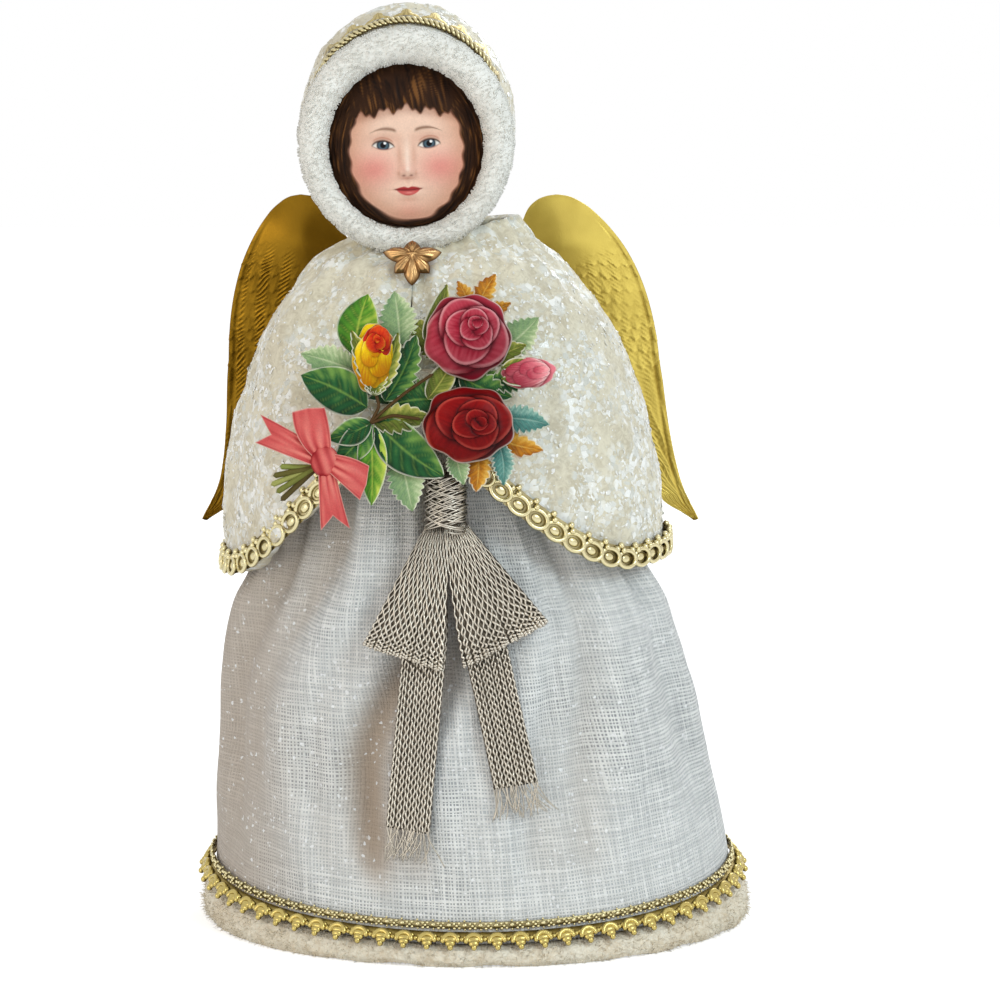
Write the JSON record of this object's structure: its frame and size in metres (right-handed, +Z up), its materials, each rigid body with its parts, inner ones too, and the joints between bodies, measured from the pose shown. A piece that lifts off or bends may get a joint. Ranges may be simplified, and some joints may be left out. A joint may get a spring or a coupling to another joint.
{
  "type": "angel tree topper",
  "caption": "Angel tree topper: padded cone figure in gauze and mica batting with a plush-edged hood, gilded paper wings, a paper rose bouquet and a tinsel ribbon bow.",
  "frame": {"origin": "centre of the cone's open mouth, on the plane the figure stands on", "axes": "+Z up, the figure faces -Y, +X is the viewer's right"},
  "size_m": [0.148, 0.1095, 0.2375],
  "materials": {
    "card": "matt kraft card",
    "stick": "bare birch",
    "padding": "matt cotton",
    "gauze": "open plain weave, dusted with fine glitter",
    "twine": "matt twine",
    "batting": "batting coated with mica flakes",
    "plush": "chenille pile",
    "silvered_paper": "embossed metallic paper, pale gold",
    "gilded_paper": "embossed metallic paper, gold",
    "copper_paper": "embossed metallic paper, copper gold",
    "face_print": "embossed printed paper, half gloss",
    "foam": "pad",
    "fern_print": "printed paper",
    "leaf_print": "printed paper",
    "autumn_print": "printed paper",
    "pink_print": "printed paper",
    "red_print": "printed paper",
    "yellow_print": "printed paper",
    "bow_print": "printed paper",
    "stem_print": "printed paper",
    "tinsel": "woven metallic ribbon"
  },
  "bodies": {
    "figure": {"base_cone": "card", "neck_dowel": "stick", "head_core": "padding", "petticoat": "padding", "skirt": "gauze", "waist_tie": "twine", "hem_band": "padding", "hem_bead_border": "silvered_paper", "hem_scallop_border": "silvered_paper", "bodice": "padding", "cape": "batting", "cape_border_left": "silvered_paper", "cape_border_right": "silvered_paper", "hood": "batting", "hood_border": "gilded_paper", "hood_roll": "plush", "face_card": "face_print", "throat_leaf": "copper_paper", "wing_pad": "card", "bouquet_spacer": "foam", "bouquet_ferns": "fern_print", "bouquet_leaves": "leaf_print", "autumn_leaf_top": "autumn_print", "autumn_leaf_right": "autumn_print", "autumn_leaf_low": "autumn_print", "pink_rose": "pink_print", "red_rose": "red_print", "yellow_rosebud": "yellow_print", "pink_rosebud": "pink_print", "bouquet_bow": "bow_print", "bouquet_stems": "stem_print", "ribbon_knot": "tinsel", "knot_wrap": "tinsel", "ribbon_loop_left": "tinsel", "ribbon_loop_right": "tinsel"},
    "left_wing": {"left_wing": "gilded_paper"},
    "right_wing": {"right_wing": "gilded_paper"},
    "left_tail": {"ribbon_tail_left": "tinsel"},
    "right_tail": {"ribbon_tail_right": "tinsel"}
  },
  "joints": [
    {"name": "left_wing_crease", "type": "hinge", "parent": "figure", "child": "left_wing", "pos_m": [-0.02052, 0.04364, 0.137], "axis": [0.0787, 0.1902, -0.9786], "range_deg": [-12, 35]},
    {"name": "right_wing_crease", "type": "hinge", "parent": "figure", "child": "right_wing", "pos_m": [-0.00152, 0.04364, 0.137], "axis": [-0.0787, -0.1902, 0.9786], "range_deg": [-12, 35]},
    {"name": "left_tail_sway", "type": "hinge", "parent": "figure", "child": "left_tail", "pos_m": [-0.00917, -0.0374, 0.1081], "axis": [0, 1, 0], "range_deg": [-3, 6]},
    {"name": "right_tail_sway", "type": "hinge", "parent": "figure", "child": "right_tail", "pos_m": [-0.00537, -0.0374, 0.1081], "axis": [0, 1, 0], "range_deg": [-6, 3]}
  ]
}
